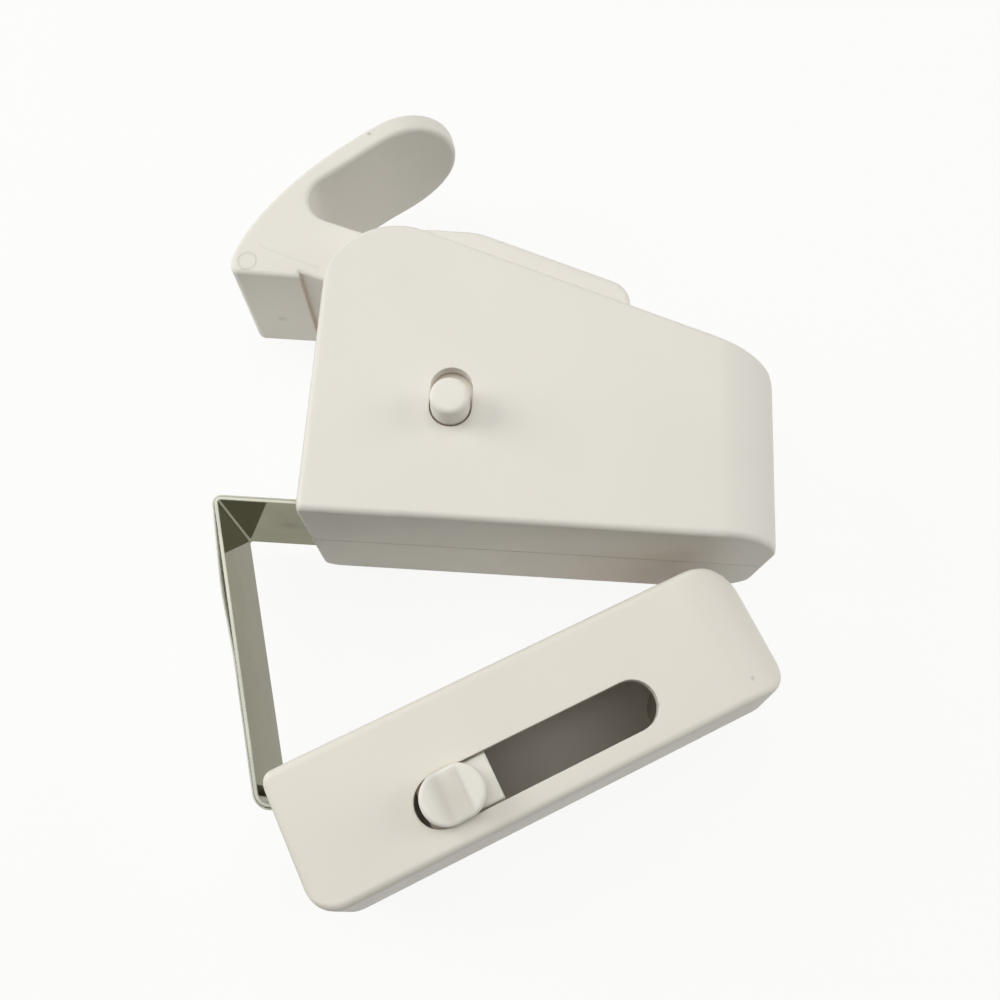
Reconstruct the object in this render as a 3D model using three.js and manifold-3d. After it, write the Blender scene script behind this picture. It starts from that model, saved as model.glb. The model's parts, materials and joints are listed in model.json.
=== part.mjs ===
// Child safety lock for the edge of an interior door. A springy steel strap goes round the edge
// of the door. A housing with a swinging hook lies on one face, a jaw with a thumb slide on the
// other, and a thin tape in the strap's curve lets either face work the lock.
// Millimetres. X runs along the housing, Y away from the door and Z from the back to the front.
import * as THREE from 'three';
import { TessellateModifier } from 'three/addons/modifiers/TessellateModifier.js';
import { mergeVertices } from 'three/addons/utils/BufferGeometryUtils.js';
import Module from 'manifold-3d';

const wasm = await Module();
wasm.setup();

const { degToRad } = THREE.MathUtils;

// Finish of the curves
const CHORD = 0.03;
const CURVE_STEPS = 8;
const FILLET_STEPS = 3;
const STATION_GAP = 0.12;
const BENT_FACET = 4;
const SPLITS = 12;
const REACH = 200;
const OVERCUT = 1;

// Both mouldings
const DEPTH = 37;
const WALL = 2;
const PARTING = 19.7;
const SEAM = 0.2;
const CLEAR = 0.3;
const SIDE_PLAY = 0.5;
const END_RADIUS = 12;
const FRONT_FILLET = 1.3;
const BACK_FILLET = 1.5;
const BACK_ROUND = 3.5;
const EDGE_ROUND = 1;
const RIB = 1.6;

// Housing
const HOUSING_LENGTH = 80;
const PIVOT_X = 12.4;
const PIVOT_HEIGHT = 41;
const CORNER_RADIUS = 12.75;
const SLOPE = degToRad(18.4);
const TIP_ROUND = 2.5;
const RIDGE_LEAD = 2.8;
const RIDGE_RISE = 1.6;
const RIDGE_HEIGHT = 4.5;
const RIDGE_LENGTH = 38.2;
const RIDGE_INSET = 2.5;
const RIDGE_EDGE = 1;
const RIDGE_CREST_ROUND = 12;
const RIDGE_END_ROUND = 4.5;
const RIDGE_START_ROUND = 1.6;

// Hook arm
const ARM_WIDTH = 26.3;
const HUB_RADIUS = 9.8;
const DRUM_INSET = 0.4;
const DRUM_START = degToRad(30);
const DRUM_END = degToRad(120);
const NECK_TILT = degToRad(-16.4);
const NECK_ABOVE = 11.2;
const NECK_BELOW = -0.4;
const FOOT_LEVEL = 3.9;
const FOOT_TOE = 28.8;
const FOOT_HEEL = 18;
const TOE_OUT = 30.6;
const TOE_LEVEL = 6.6;
const BACK_BULGE = 7;
const PADDLE_TILT = degToRad(41);
const PADDLE_GAP = 29.1;
const PADDLE_THICKNESS = 3.8;
const PADDLE_REACH = 32.6;
const PADDLE_ROOT = 10.5;
const PADDLE_LAP = 2;
const PADDLE_BEND_START = 16;
const PADDLE_BEND_RADIUS = 40.6;
const CROTCH_RADIUS = 4.8;
const TOE_CURL = 1;
const TOE_BACK_ROUND = 2.8;
const ARM_EDGE = 0.9;
const SWING = degToRad(70);
const ARM_SLOT_REACH = 13.1;
const ARM_SLOT_RISE = 0.5;

// Pivot pin and its spring
const PIN_RADIUS = 2;
const PIN_PLAY = 0.1;
const PIN_BOSS = 4.5;
const PIN_SKIN = 1;
const WIRE_RADIUS = 0.45;
const COIL_RADIUS = 4.4;
const COIL_TURNS = 5;
const COIL_PITCH = 1.5;
const COIL_STEPS = 12;

// Lock bar and its button
const BUTTON_X = 23.4;
const BUTTON_Y = 19.5;
const BUTTON_RADIUS = 3.3;
const BUTTON_PROUD = 5;
const BUTTON_ROUND = 0.9;
const TENON_RADIUS = 1.6;
const BUTTON_SLOT_PLAY = 0.25;
const LOCK_TRAVEL = 3.5;
const BAR_THICKNESS = 2.6;
const BAR_HALF_WIDTH = 6.2;
const BAR_FOOT = 9.5;
const TOOTH_X = 16;
const TOOTH_WIDTH = 3;
const TOOTH_DEPTH = 7;
const TOOTH_ROOT = 9;
const FOLLOWER_INSET = 44.5;
const FOLLOWER_Y = 12;
const FOLLOWER_RADIUS = 2;
const FOLLOWER_MARGIN = 2.5;

// Cam carriage
const PULL = 24.5;
const CARRIAGE_THICKNESS = 6;
const CARRIAGE_MARGIN = 2.2;
const KEEL_LENGTH = 9.5;
const STUD_RADIUS = 1.25;
const STUD_INSET = 3;

// Strap and tape
const STRAP_THICKNESS = 0.6;
const STRAP_RISE = 0.6;
const STRAP_REACH = 14.2;
const STRAP_TAIL = 26;
const SPINE_LENGTH = 50.36;
const SPINE_LEAN = degToRad(15.4);
const TOP_BEND = 0.8;
const LOW_BEND = 2;
const HEAD_LENGTH = 5;
const HEAD_WIDTH = 31.8;
const TAPE_WIDTH = 25.3;
const TAPE_THICKNESS = 0.3;
const TAPE_GAP = 0.1;
const TAPE_BOW = 0.5;
const TAPE_OVERLAP = 3;

// Jaw
const JAW_TILT = degToRad(29.05);
const JAW_LENGTH = 81.6;
const JAW_HEIGHT = 24.15;
const JAW_DRAFT = 1.35;
const JAW_LEAD = 2.24;
const JAW_STRAP_DEPTH = 4.2;
const JAW_STRAP_TAIL = 14;
const JAW_HEEL_ROUND = 5;
const JAW_TOP_ROUND = 2;
const JAW_END_ROUND = 8.5;
const JAW_TOE_ROUND = 5.5;
const SLIDE_START = 18.9;
const SLIDE_DEPTH = 15.15;
const SLIDE_WIDTH = 7.9;

// Thumb slide
const KNOB_LEAD = 1.2;
const KNOB_LENGTH = 9.7;
const KNOB_PLATE = 11.7;
const KNOB_PROUD = 3.6;
const KNOB_STEP = 1;
const KNOB_LAP = 0.2;
const KNOB_DIP = 6.8;
const KNOB_LIP = 2.4;
const KNOB_SCOOP = 1.4;
const KNOB_ROUND = 0.8;
const KEEPER_WIDTH = 10.7;
const KEEPER_THICKNESS = 2.9;
const KEEPER_ARM = 6;
const KEEPER_STUD = 24.5;

// Screws
const SCREW_RADIUS = 1.4;
const SCREW_HEAD = 2.8;
const SCREW_HEAD_HEIGHT = 2.1;
const SCREW_RECESS = 0.5;
const SCREW_TIP = 29;
const SCREW_PLAY = 0.3;
const BOSS_RADIUS = 4.4;
const CROSS_WIDTH = 0.7;
const CROSS_DEPTH = 1;
const CROSS_REACH = 0.62;
const HEAD_FLAT = 0.8;
const END_SCREW = { inset: 6.4, drop: 18 };
const SLOPE_SCREW = { x: 38, drop: 10.5 };
const TOE_SCREW = { inset: 6.8, y: 11 };
const TIP_SCREW = { inset: 11, drop: 8.6 };
const HEEL_SCREW = { inset: 8.5, depth: 17 };
const JAW_END_SCREWS = { inset: 14, depths: [7.5, 17.5] };
const SMALL_SCREW_RADIUS = 1.1;
const SMALL_SCREW_HEAD = 2.1;
const SMALL_SCREW_HEAD_HEIGHT = 1.4;
const SMALL_SCREW_BITE = 2.8;

// Colours
const IVORY = 0xe2ded6;
const STEEL = 0xb9bab6;
const ZINC = 0x9a9b98;

const group = new THREE.Group();
const pivot = new THREE.Vector2(PIVOT_X, PIVOT_HEIGHT);
const endWall = pivot.x - CORNER_RADIUS;
const mid = DEPTH / 2;
const inner = { back: WALL, front: DEPTH - WALL };

// Number of chords that keeps an arc within the finish
function arcSteps(radius, sweep) {
  const step = 2 * Math.acos(1 - Math.min(CHORD / radius, 0.2));
  return Math.max(2, Math.ceil(Math.abs(sweep) / step));
}

function arcPoints(x, y, radius, from, to) {
  const steps = arcSteps(radius, to - from);
  const points = [];
  for (let i = 0; i <= steps; i += 1) {
    const angle = from + (to - from) * (i / steps);
    points.push(new THREE.Vector2(x + radius * Math.cos(angle), y + radius * Math.sin(angle)));
  }
  return points;
}

// Arc that rounds a corner between the way back and the way ahead, turning left
function cornerArc(here, back, ahead, radius) {
  const half = Math.acos(THREE.MathUtils.clamp(back.dot(ahead), -1, 1)) / 2;
  const bisector = back.clone().add(ahead).normalize();
  const centre = here.clone().addScaledVector(bisector, radius / Math.sin(half));
  const end = Math.atan2(-ahead.x, ahead.y);
  const sweep = Math.PI - 2 * half;
  return arcPoints(centre.x, centre.y, radius, end - sweep, end);
}

// Closed outline through corners given as [x, y, radius], counter-clockwise and convex
function rounded(corners) {
  const points = [];
  corners.forEach(([x, y, radius], i) => {
    const here = new THREE.Vector2(x, y);
    if (radius <= 0) {
      points.push(here);
      return;
    }
    const [px, py] = corners[(i + corners.length - 1) % corners.length];
    const [nx, ny] = corners[(i + 1) % corners.length];
    const back = new THREE.Vector2(px - x, py - y).normalize();
    const ahead = new THREE.Vector2(nx - x, ny - y).normalize();
    points.push(...cornerArc(here, back, ahead, radius));
  });
  return new THREE.Shape(points);
}

function crossing(p, d, q, e) {
  const t = ((q.x - p.x) * e.y - (q.y - p.y) * e.x) / (d.x * e.y - d.y * e.x);
  return p.clone().addScaledVector(d, t);
}

// The same corners moved inwards by a wall
function inset(corners, wall) {
  const edges = corners.map(([x, y], i) => {
    const [nx, ny] = corners[(i + 1) % corners.length];
    const along = new THREE.Vector2(nx - x, ny - y).normalize();
    const point = new THREE.Vector2(x - along.y * wall, y + along.x * wall);
    return { point, along };
  });
  return corners.map(([, , radius], i) => {
    const before = edges[(i + corners.length - 1) % corners.length];
    const after = edges[i];
    const at = crossing(before.point, before.along, after.point, after.along);
    return [at.x, at.y, Math.max(radius - wall, 0)];
  });
}

function disc(x, y, radius) {
  return new THREE.Shape(arcPoints(x, y, radius, 0, 2 * Math.PI).slice(0, -1));
}

function stadium(x0, x1, y, radius) {
  const right = arcPoints(x1 - radius, y, radius, -Math.PI / 2, Math.PI / 2);
  const left = arcPoints(x0 + radius, y, radius, Math.PI / 2, Math.PI * 1.5);
  return new THREE.Shape([...right, ...left]);
}

function solid(geometry) {
  geometry.deleteAttribute('normal');
  geometry.deleteAttribute('uv');
  const merged = mergeVertices(geometry, 1e-4);
  const corners = merged.index.array;
  const triVerts = [];
  for (let i = 0; i < corners.length; i += 3) {
    const [a, b, c] = [corners[i], corners[i + 1], corners[i + 2]];
    if (a !== b && b !== c && c !== a) triVerts.push(a, b, c);
  }
  return new wasm.Manifold(new wasm.Mesh({
    numProp: 3,
    vertProperties: Float32Array.from(merged.attributes.position.array),
    triVerts: Uint32Array.from(triVerts),
  }));
}

function extruded(shape, length, fillet) {
  return new THREE.ExtrudeGeometry(shape, {
    depth: length - 2 * fillet,
    steps: 1,
    curveSegments: CURVE_STEPS,
    bevelEnabled: fillet > 0,
    bevelThickness: fillet,
    bevelSize: fillet,
    bevelOffset: -fillet,
    bevelSegments: FILLET_STEPS,
  }).translate(0, 0, fillet);
}

// Outline in X and Y, raised from low to high
function prism(shape, low, high, fillet = 0) {
  return solid(extruded(shape, high - low, fillet).translate(0, 0, low));
}

// Outline in X and Z, carried along Y
function alongY(shape, low, high) {
  return extruded(shape, high - low, 0).rotateX(Math.PI / 2).translate(0, high, 0);
}

function prismAlongY(shape, low, high) {
  return solid(alongY(shape, low, high));
}

function block(x0, x1, y0, y1, z0, z1) {
  const box = new THREE.BoxGeometry(x1 - x0, y1 - y0, z1 - z0);
  return solid(box.translate((x0 + x1) / 2, (y0 + y1) / 2, (z0 + z1) / 2));
}

function rod(x, y, radius, low, high) {
  return prism(disc(x, y, radius), low, high);
}

// Profile of [radius, height] pairs turned about a Z axis
function turned(profile, x, y) {
  const points = profile.map(([radius, height]) => new THREE.Vector2(radius, height));
  const steps = arcSteps(Math.max(...profile.map(([radius]) => radius)), 2 * Math.PI);
  return solid(new THREE.LatheGeometry(points, steps).rotateX(Math.PI / 2).translate(x, y, 0));
}

// Bends a plate that is drawn along X with its thickness in Z, from a given x onwards
function bent(geometry, from, radius) {
  const fine = new TessellateModifier(BENT_FACET, SPLITS).modify(geometry);
  const points = fine.attributes.position;
  for (let i = 0; i < points.count; i += 1) {
    const angle = Math.max(points.getX(i) - from, 0) / radius;
    const out = radius + points.getZ(i);
    points.setX(i, Math.min(points.getX(i), from) + out * Math.sin(angle));
    points.setZ(i, out * Math.cos(angle) - radius);
  }
  return fine;
}

function joined(solids) {
  return solids.reduce((all, one) => all.add(one));
}

// Seats a finished solid in the part. The origin lies under the middle of the housing.
function addPiece(name, body, look, place = (geometry) => geometry) {
  const mesh = body.getMesh();
  const geometry = new THREE.BufferGeometry();
  geometry.setAttribute('position', new THREE.BufferAttribute(mesh.vertProperties, 3));
  geometry.setIndex(new THREE.BufferAttribute(mesh.triVerts, 1));
  place(geometry).translate(-HOUSING_LENGTH / 2, 0, -mid);
  geometry.computeVertexNormals();
  const piece = new THREE.Mesh(geometry, new THREE.MeshStandardMaterial(look));
  piece.name = name;
  group.add(piece);
}

const plastic = () => ({ color: IVORY, roughness: 0.5, metalness: 0 });
const steel = () => ({ color: STEEL, roughness: 0.22, metalness: 1 });
const zinc = () => ({ color: ZINC, roughness: 0.4, metalness: 1 });

// Depth that a round takes off at a distance from the end that it rounds
function rollOff(distance, radius) {
  const short = THREE.MathUtils.clamp(radius - distance, 0, radius);
  return radius - Math.sqrt(radius ** 2 - short ** 2);
}

// Distances from an end at which its rounds are drawn
function roundSteps(radii) {
  return radii.flatMap((radius) => {
    const steps = arcSteps(radius, Math.PI / 2);
    return Array.from({ length: steps + 1 }, (_, i) => radius * (1 - Math.cos((i / steps) * Math.PI / 2)));
  });
}

// Quarter circle of a section in Y and Z
function quarter(y, z, radius, from) {
  return Array.from({ length: FILLET_STEPS + 1 }, (_, i) => {
    const angle = from + (i / FILLET_STEPS) * Math.PI / 2;
    return [y + radius * Math.cos(angle), z + radius * Math.sin(angle)];
  });
}

// Solid through sections along X, each a ring of [y, z] that goes from Y to Z
function lofted(xs, section) {
  const points = [];
  const faces = [];
  const size = section(xs[0]).length;
  xs.forEach((x, i) => section(x).forEach(([y, z], j) => {
    points.push(x, y, z);
    if (i === 0) return;
    const here = i * size + j;
    const next = i * size + ((j + 1) % size);
    faces.push(here - size, next - size, next, here - size, next, here);
  }));
  const last = (xs.length - 1) * size;
  for (let j = 1; j + 1 < size; j += 1) {
    faces.push(0, j + 1, j, last, last + j, last + j + 1);
  }
  const geometry = new THREE.BufferGeometry();
  geometry.setAttribute('position', new THREE.Float32BufferAttribute(points, 3));
  geometry.setIndex(faces);
  return solid(geometry);
}

// A moulding between two curves in Y: filleted all round, its far end rolled off to front and back,
// its low wall leaning in from the parting line by a draft
function moulding(start, end, rounds, low, high, draft) {
  const stations = [
    ...rounds,
    ...roundSteps([FRONT_FILLET, BACK_ROUND]).map((d) => start + d),
    ...roundSteps([END_RADIUS]).map((d) => end - d),
  ].sort((a, b) => a - b);
  const xs = stations.filter((x, i) => x === end || stations[i + 1] - x > STATION_GAP);
  return lofted([...new Set(xs)], (x) => {
    const roll = rollOff(end - x, END_RADIUS);
    const front = DEPTH - rollOff(x - start, FRONT_FILLET) - roll - FRONT_FILLET;
    const back = rollOff(x - start, BACK_ROUND) + roll + BACK_FILLET;
    const foot = low(x) + draft;
    return [
      ...quarter(foot + BACK_FILLET, back, BACK_FILLET, Math.PI),
      ...quarter(high(x) - BACK_FILLET, back, BACK_FILLET, Math.PI * 1.5),
      ...quarter(high(x) - FRONT_FILLET, front, FRONT_FILLET, 0),
      ...quarter(foot + FRONT_FILLET, front, FRONT_FILLET, Math.PI / 2),
      [low(x), PARTING],
    ];
  });
}

function hollow(corners, length) {
  const end = length - WALL;
  const radius = END_RADIUS - WALL;
  const plan = rounded([
    [-REACH, inner.back, 0], [end, inner.back, radius], [end, inner.front, radius],
    [-REACH, inner.front, 0],
  ]);
  const outline = prism(rounded(inset(corners, WALL)), inner.back, inner.front);
  return outline.intersect(prismAlongY(plan, -REACH, REACH));
}

const frontHalf = block(-REACH, REACH, -REACH, REACH, PARTING + SEAM / 2, REACH);
const backHalf = block(-REACH, REACH, -REACH, REACH, -REACH, PARTING - SEAM / 2);

// Screws enter from the back. The bosses meet at the parting line.
const screwHole = SCREW_RADIUS + SCREW_PLAY;
const screwSeat = SCREW_RECESS + SCREW_HEAD_HEIGHT + CLEAR;

function bosses(places) {
  return joined(places.map(([x, y]) => rod(x, y, BOSS_RADIUS, inner.back / 2, DEPTH - inner.back / 2)));
}

function screwCuts(places) {
  return joined(places.flatMap(([x, y]) => [
    rod(x, y, screwHole, -OVERCUT, SCREW_TIP + CLEAR),
    rod(x, y, SCREW_HEAD + SCREW_PLAY, -OVERCUT, screwSeat),
  ]));
}

function screw(x, y, head, shank, headLow, headHigh, tip) {
  const body = turned([
    [0, headLow], [head * HEAD_FLAT, headLow], [head, (headLow + headHigh) / 2], [head, headHigh],
    [shank, headHigh], [shank, tip - shank], [0, tip],
  ], x, y);
  const arm = head * CROSS_REACH;
  const half = CROSS_WIDTH / 2;
  const cross = joined([
    block(x - arm, x + arm, y - half, y + half, headLow - OVERCUT, headLow + CROSS_DEPTH),
    block(x - half, x + half, y - arm, y + arm, headLow - OVERCUT, headLow + CROSS_DEPTH),
  ]);
  return body.subtract(cross);
}

function shellScrew(x, y) {
  const headHigh = SCREW_RECESS + SCREW_HEAD_HEIGHT;
  return screw(x, y, SCREW_HEAD, SCREW_RADIUS, SCREW_RECESS, headHigh, SCREW_TIP);
}

// Housing outline
const slopeUp = new THREE.Vector2(Math.sin(SLOPE), Math.cos(SLOPE));
const slopeStart = pivot.clone().addScaledVector(slopeUp, CORNER_RADIUS);
const slopeY = (x, above = 0) => {
  const rise = above / Math.cos(SLOPE);
  return slopeStart.y + (slopeStart.x - x) * Math.tan(SLOPE) + rise;
};
const housingCorners = [
  [endWall, 0, EDGE_ROUND],
  [HOUSING_LENGTH, 0, EDGE_ROUND],
  [HOUSING_LENGTH, slopeY(HOUSING_LENGTH), TIP_ROUND],
  [endWall, slopeY(endWall), CORNER_RADIUS],
];
const armLow = mid - ARM_WIDTH / 2;
const armHigh = mid + ARM_WIDTH / 2;
const cheekLow = armLow - SIDE_PLAY;
const cheekHigh = armHigh + SIDE_PLAY;
const tipX = HOUSING_LENGTH - TIP_SCREW.inset;
const housingScrews = [
  [END_SCREW.inset, PIVOT_HEIGHT - END_SCREW.drop],
  [SLOPE_SCREW.x, slopeY(SLOPE_SCREW.x) - SLOPE_SCREW.drop],
  [HOUSING_LENGTH - TOE_SCREW.inset, TOE_SCREW.y],
  [tipX, slopeY(tipX) - TIP_SCREW.drop],
];

// Raised ridge along the slope, between the two faces
const ridgeStart = pivot.x + RIDGE_LEAD;
const ridgeEnd = ridgeStart + RIDGE_LENGTH;
const ridgeLevel = slopeStart.y + RIDGE_RISE;
const crestX = slopeStart.x + (slopeY(slopeStart.x, RIDGE_HEIGHT) - ridgeLevel) / Math.tan(SLOPE);
const ridge = prism(rounded([
  [ridgeStart, pivot.y + HUB_RADIUS, 0],
  [ridgeEnd, slopeY(ridgeEnd) - WALL, 0],
  [ridgeEnd, slopeY(ridgeEnd, RIDGE_HEIGHT), RIDGE_END_ROUND],
  [crestX, ridgeLevel, RIDGE_CREST_ROUND],
  [ridgeStart, ridgeLevel, RIDGE_START_ROUND],
]), RIDGE_INSET, DEPTH - RIDGE_INSET, RIDGE_EDGE);

const housingRounds = [
  ...arcPoints(pivot.x, pivot.y, CORNER_RADIUS, Math.PI, Math.PI / 2 - SLOPE).map((p) => p.x),
  ...roundSteps([EDGE_ROUND]).map((d) => endWall + d),
  ...roundSteps([EDGE_ROUND, TIP_ROUND]).map((d) => HOUSING_LENGTH - d),
];
const housingLow = (x) => rollOff(x - endWall, EDGE_ROUND) + rollOff(HOUSING_LENGTH - x, EDGE_ROUND);
const cornerY = (x) => pivot.y + Math.sqrt(Math.max(CORNER_RADIUS ** 2 - (x - pivot.x) ** 2, 0));
const housingHigh = (x) => {
  const top = x < slopeStart.x ? cornerY(x) : slopeY(x);
  return top - rollOff(HOUSING_LENGTH - x, TIP_ROUND);
};
const housingOuter = moulding(endWall, HOUSING_LENGTH, housingRounds, housingLow, housingHigh, 0)
  .add(ridge);
const housingInner = hollow(housingCorners, HOUSING_LENGTH);

// The strap lies on the floor of the housing, and the tape lies on the strap
const strapLow = WALL + STRAP_RISE;
const strapHigh = strapLow + STRAP_THICKNESS;
const tapeLow = strapHigh + TAPE_GAP;
const tapeHigh = tapeLow + TAPE_THICKNESS;
const strapBack = armLow;
const strapFront = armHigh;
const ribDepth = strapBack - CLEAR;

// Pairs of ribs that trap a strap's wide head, in both halves of a moulding
function headRibs(start, low, high) {
  const spans = [
    [start - CLEAR - RIB * 2, start - CLEAR],
    [start + HEAD_LENGTH + CLEAR, start + HEAD_LENGTH + CLEAR + RIB],
  ];
  return joined(spans.flatMap(([x0, x1]) => [
    block(x0, x1, low, high, inner.back / 2, ribDepth),
    block(x0, x1, low, high, DEPTH - ribDepth, DEPTH - inner.back / 2),
  ]));
}

// Lock bar: behind the front plate, its tooth under the hub
const barFront = inner.front - CLEAR;
const barBack = barFront - BAR_THICKNESS;
const toothTop = pivot.y - HUB_RADIUS - CLEAR;
const toothLeft = TOOTH_X - TOOTH_WIDTH / 2;
const toothRight = TOOTH_X + TOOTH_WIDTH / 2;
const barRight = BUTTON_X + BAR_HALF_WIDTH;
const followerX = HOUSING_LENGTH - FOLLOWER_INSET;
const footTop = FOLLOWER_Y + FOLLOWER_MARGIN;
const footRight = followerX + FOLLOWER_MARGIN;
const carriageBack = mid - CARRIAGE_THICKNESS / 2;
const carriageFront = mid + CARRIAGE_THICKNESS / 2;
const barPlate = joined([
  block(toothLeft, barRight, BAR_FOOT, toothTop, barBack, barFront),
  block(toothLeft, footRight, BAR_FOOT, footTop, barBack, barFront),
]);
const tooth = block(
  toothLeft, toothRight, toothTop - TOOTH_ROOT, toothTop, barBack - TOOTH_DEPTH, barBack + CLEAR,
);
const follower = rod(followerX, FOLLOWER_Y, FOLLOWER_RADIUS, carriageBack, barFront);
const tenonFloor = barBack + CLEAR;
const tenonHole = rod(BUTTON_X, BUTTON_Y, TENON_RADIUS + CLEAR, tenonFloor, barFront + OVERCUT);
addPiece('lock_bar', barPlate.add(tooth).add(follower).subtract(tenonHole), plastic());

const buttonBase = barFront + CLEAR;
const buttonTop = DEPTH + BUTTON_PROUD;
const buttonCrown = arcPoints(
  BUTTON_RADIUS - BUTTON_ROUND, buttonTop - BUTTON_ROUND, BUTTON_ROUND, 0, Math.PI / 2,
).map((p) => [p.x, p.y]);
addPiece('lock_button', turned([
  [0, tenonFloor + CLEAR], [TENON_RADIUS, tenonFloor + CLEAR], [TENON_RADIUS, buttonBase],
  [BUTTON_RADIUS, buttonBase], ...buttonCrown, [0, buttonTop],
], BUTTON_X, BUTTON_Y), plastic());

const buttonSlotRadius = BUTTON_RADIUS + BUTTON_SLOT_PLAY;
const buttonSlot = new THREE.Shape([
  ...arcPoints(BUTTON_X, BUTTON_Y + LOCK_TRAVEL, buttonSlotRadius, 0, Math.PI),
  ...arcPoints(BUTTON_X, BUTTON_Y, buttonSlotRadius, Math.PI, 2 * Math.PI),
]);

// Cam carriage: a slope in it lifts the follower as the tape pulls it along the floor
const camRise = LOCK_TRAVEL / PULL;
const camHalf = FOLLOWER_RADIUS + CLEAR;
const camMargin = camHalf + CARRIAGE_MARGIN;
const carriageLeft = followerX - camMargin;
const carriageRight = followerX + PULL + camMargin;
const carriageFloor = tapeHigh + CLEAR;
const camAngle = Math.atan(camRise);
const camSlot = new THREE.Shape([
  ...arcPoints(
    followerX + PULL, FOLLOWER_Y + LOCK_TRAVEL, camHalf, camAngle - Math.PI / 2, camAngle + Math.PI / 2,
  ),
  ...arcPoints(followerX, FOLLOWER_Y, camHalf, camAngle + Math.PI / 2, camAngle + Math.PI * 1.5),
]);
const carriageTop = (x) => FOLLOWER_Y + camMargin + (x - followerX) * camRise;
const carriagePlate = prism(rounded([
  [carriageLeft, carriageFloor, 0],
  [carriageRight, carriageFloor, 0],
  [carriageRight, carriageTop(carriageRight), EDGE_ROUND],
  [carriageLeft, carriageTop(carriageLeft), EDGE_ROUND],
]), carriageBack, carriageFront);
const keel = block(
  carriageRight - KEEL_LENGTH, carriageRight, WALL + CLEAR, carriageFloor + CLEAR,
  carriageBack, carriageFront,
);
const studX = carriageLeft + STUD_INSET;
const stud = prismAlongY(disc(studX, mid, STUD_RADIUS), tapeLow, carriageFloor + CLEAR);
addPiece(
  'cam_carriage',
  carriagePlate.subtract(prism(camSlot, 0, DEPTH)).add(keel).add(stud),
  plastic(),
);

// Rails on the floor keep the carriage upright, one in each half of the housing
const railLeft = studX + TAPE_OVERLAP + CLEAR;
const railTop = FOLLOWER_Y - camMargin;
const rails = joined([
  block(railLeft, carriageRight, WALL / 2, railTop, carriageBack - CLEAR - RIB, carriageBack - CLEAR),
  block(railLeft, carriageRight, WALL / 2, railTop, carriageFront + CLEAR, carriageFront + CLEAR + RIB),
]);

// Guides beside the lock bar, on the inside of the front plate
const guideBack = barBack + CLEAR;
const guides = joined([
  block(
    toothLeft - CLEAR - RIB, toothLeft - CLEAR, BAR_FOOT, toothTop - CLEAR,
    guideBack, DEPTH - WALL / 2,
  ),
  block(
    barRight + CLEAR, barRight + CLEAR + RIB, footTop + LOCK_TRAVEL + CLEAR, toothTop,
    guideBack, DEPTH - WALL / 2,
  ),
]);

// Bearings of the pivot pin
const pinHole = PIN_RADIUS + PIN_PLAY;
const bearings = joined([
  rod(pivot.x, pivot.y, PIN_BOSS, WALL / 2, cheekLow),
  rod(pivot.x, pivot.y, PIN_BOSS, cheekHigh, DEPTH - WALL / 2),
]);
const pinCut = rod(pivot.x, pivot.y, pinHole, PIN_SKIN, DEPTH - PIN_SKIN);
addPiece(
  'latch_pivot_pin',
  rod(pivot.x, pivot.y, PIN_RADIUS, PIN_SKIN + PIN_PLAY, DEPTH - PIN_SKIN - PIN_PLAY),
  zinc(),
);

// Window for the arm, from the end wall over the rounded corner to the slope
const windowSill = pivot.y + ARM_SLOT_RISE;
const windowEnd = pivot.x + ARM_SLOT_REACH;
const armWindow = prism(new THREE.Shape([
  new THREE.Vector2(-REACH, windowSill),
  new THREE.Vector2(pivot.x - HUB_RADIUS, windowSill),
  new THREE.Vector2(pivot.x, pivot.y),
  new THREE.Vector2(windowEnd, pivot.y),
  new THREE.Vector2(windowEnd, REACH),
  new THREE.Vector2(-REACH, REACH),
]), cheekLow, cheekHigh);
const strapSlot = block(
  endWall - OVERCUT, endWall + WALL + OVERCUT, strapLow - CLEAR, tapeHigh + CLEAR,
  strapBack - CLEAR, strapFront + CLEAR,
);

const headX = STRAP_TAIL - HEAD_LENGTH;
const housingInside = joined([
  bosses(housingScrews),
  headRibs(headX, WALL / 2, tapeHigh + RIB),
  rails,
  guides,
  bearings,
]).intersect(housingOuter);
const housing = housingOuter
  .subtract(housingInner)
  .add(housingInside)
  .subtract(joined([armWindow, strapSlot, pinCut, screwCuts(housingScrews)]));
const buttonCut = prism(buttonSlot, inner.front - OVERCUT, REACH);
addPiece('front_shell', housing.intersect(frontHalf).subtract(buttonCut), plastic());
addPiece('rear_shell', housing.intersect(backHalf), plastic());
housingScrews.forEach(([x, y], i) => {
  addPiece(`shell_screw_${i + 1}`, shellScrew(x, y), zinc());
});

// Hook arm. The neck runs out from the hub, the foot hangs from it, the paddle rises behind.
const neckAlong = new THREE.Vector2(Math.cos(NECK_TILT), Math.sin(NECK_TILT));
const neckUp = new THREE.Vector2(-neckAlong.y, neckAlong.x);
const paddleAlong = new THREE.Vector2(Math.cos(PADDLE_TILT), Math.sin(PADDLE_TILT));
const paddleUp = new THREE.Vector2(-paddleAlong.y, paddleAlong.x);
const fromPivot = (along, w, up, n) => pivot.clone().addScaledVector(along, w).addScaledVector(up, n);
const onPaddle = (w, n) => fromPivot(paddleAlong, w, paddleUp, n);
const onNeck = (w, n) => fromPivot(neckAlong, w, neckUp, n);
const paddleOut = PADDLE_GAP + PADDLE_THICKNESS;
const crotch = crossing(onPaddle(0, PADDLE_GAP), paddleAlong, onNeck(0, NECK_ABOVE), neckAlong);
const crotchArc = cornerArc(crotch, paddleAlong, neckAlong, CROTCH_RADIUS).reverse();
const footY = pivot.y + FOOT_LEVEL;
const heelX = pivot.x - FOOT_HEEL;
const heelFoot = new THREE.Vector2(heelX, footY);
const heel = crossing(heelFoot, new THREE.Vector2(0, 1), onNeck(0, NECK_BELOW), neckAlong);
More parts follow.
